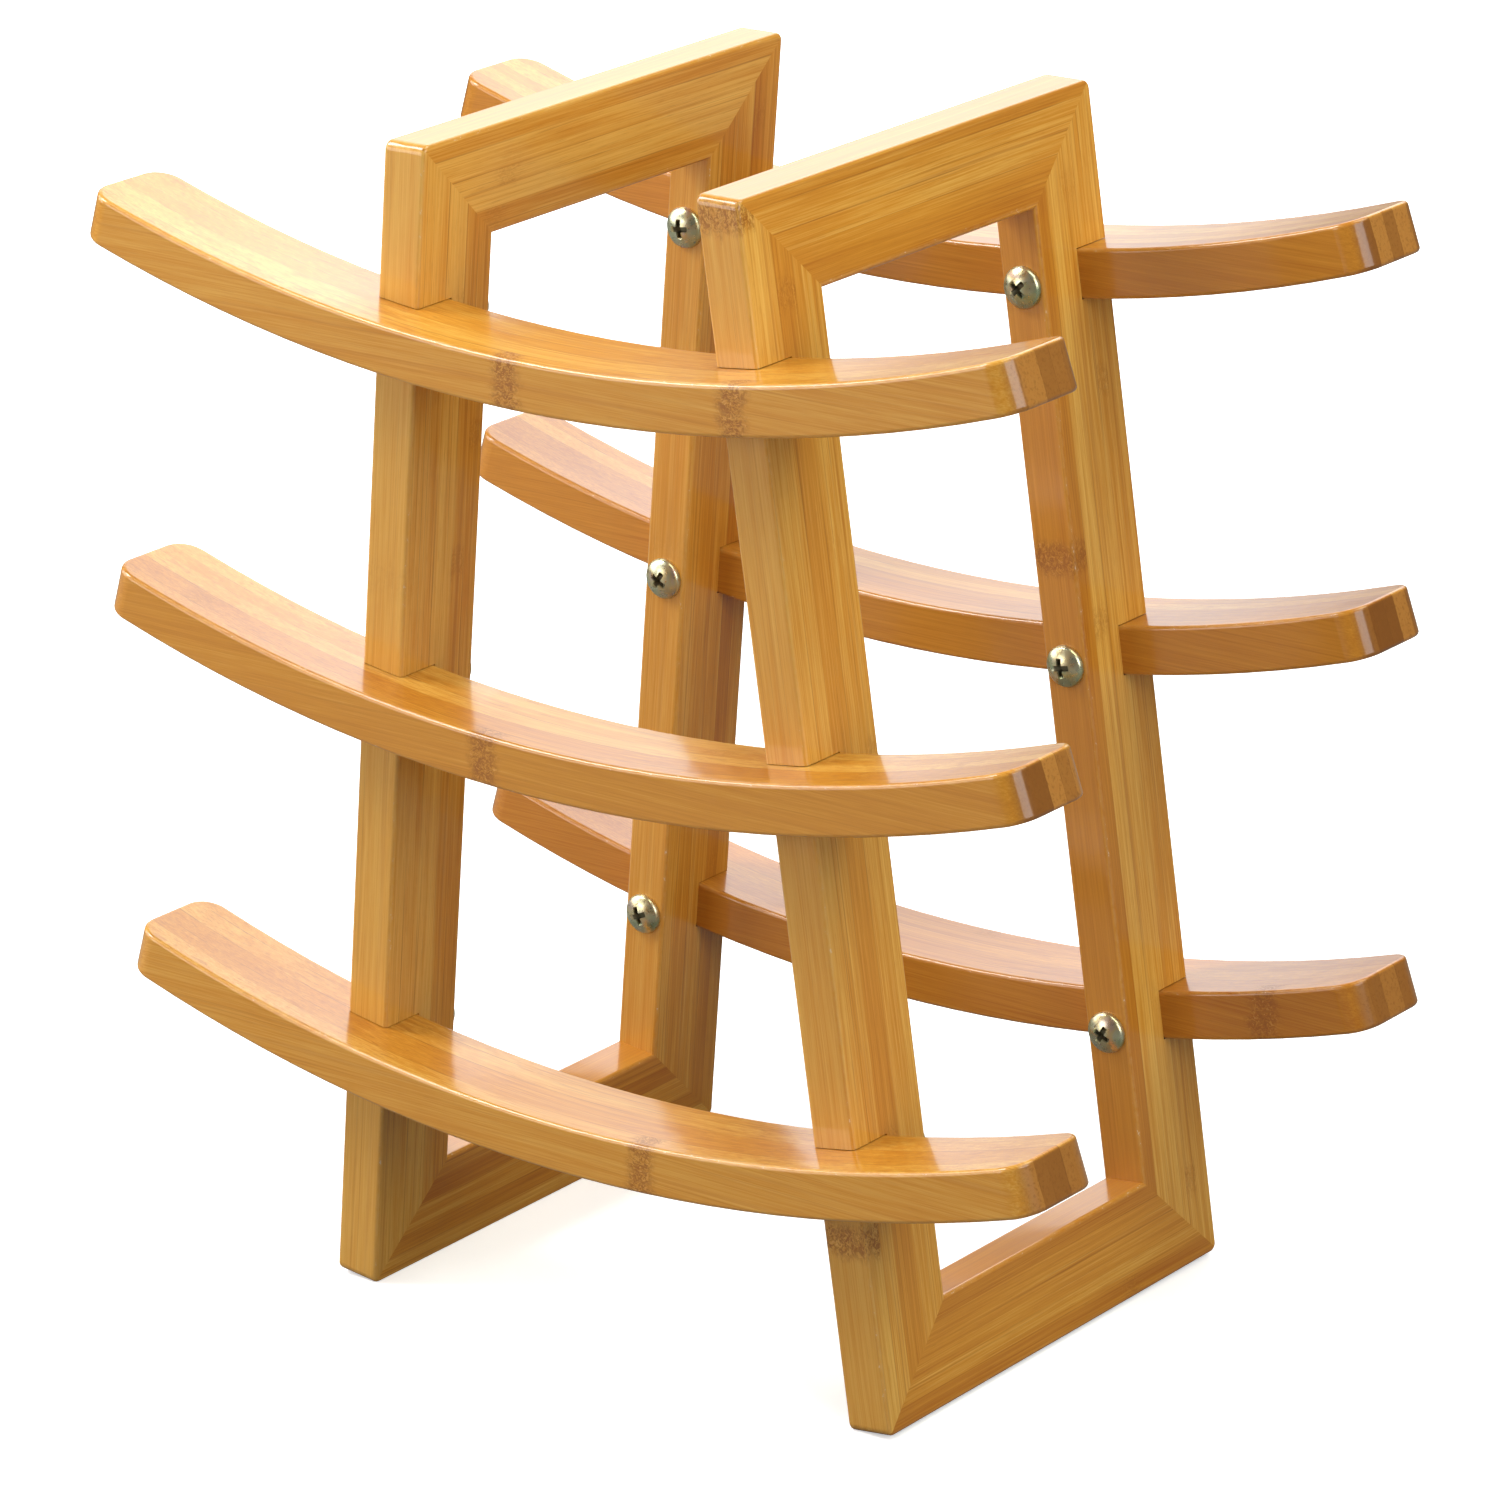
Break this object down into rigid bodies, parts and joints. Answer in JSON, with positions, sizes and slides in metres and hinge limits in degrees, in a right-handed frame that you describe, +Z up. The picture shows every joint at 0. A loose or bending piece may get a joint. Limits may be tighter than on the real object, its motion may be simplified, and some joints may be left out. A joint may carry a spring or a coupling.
{
  "type": "wine rack",
  "caption": "Tabletop bamboo wine rack: upward-curved slats let into leaning mitred frames, for bottles lying front to rear.",
  "frame": {"origin": "on the floor in the middle of the rack's footprint", "axes": "+X along the slats, -Y to the front, +Z up"},
  "size_m": [0.316, 0.184, 0.3341],
  "materials": {
    "frame_bamboo": "laminated bamboo under clear satin lacquer",
    "slat_bamboo": "laminated bamboo under clear satin lacquer",
    "dowel_wood": "bare, glued in and hidden",
    "plated_screw": "yellow zinc plated, glossy"
  },
  "bodies": {
    "root": {"high_front_slat": "slat_bamboo", "high_rear_slat": "slat_bamboo", "left_bottom_front_dowel": "dowel_wood", "left_bottom_rail": "frame_bamboo", "left_bottom_rear_dowel": "dowel_wood", "left_front_high_screw": "plated_screw", "left_front_low_screw": "plated_screw", "left_front_middle_screw": "plated_screw", "left_front_post": "frame_bamboo", "left_rear_high_screw": "plated_screw", "left_rear_low_screw": "plated_screw", "left_rear_middle_screw": "plated_screw", "left_rear_post": "frame_bamboo", "left_top_front_dowel": "dowel_wood", "left_top_rail": "frame_bamboo", "left_top_rear_dowel": "dowel_wood", "low_front_slat": "slat_bamboo", "low_rear_slat": "slat_bamboo", "middle_front_slat": "slat_bamboo", "middle_rear_slat": "slat_bamboo", "right_bottom_front_dowel": "dowel_wood", "right_bottom_rail": "frame_bamboo", "right_bottom_rear_dowel": "dowel_wood", "right_front_high_screw": "plated_screw", "right_front_low_screw": "plated_screw", "right_front_middle_screw": "plated_screw", "right_front_post": "frame_bamboo", "right_rear_high_screw": "plated_screw", "right_rear_low_screw": "plated_screw", "right_rear_middle_screw": "plated_screw", "right_rear_post": "frame_bamboo", "right_top_front_dowel": "dowel_wood", "right_top_rail": "frame_bamboo", "right_top_rear_dowel": "dowel_wood"}
  },
  "joints": []
}
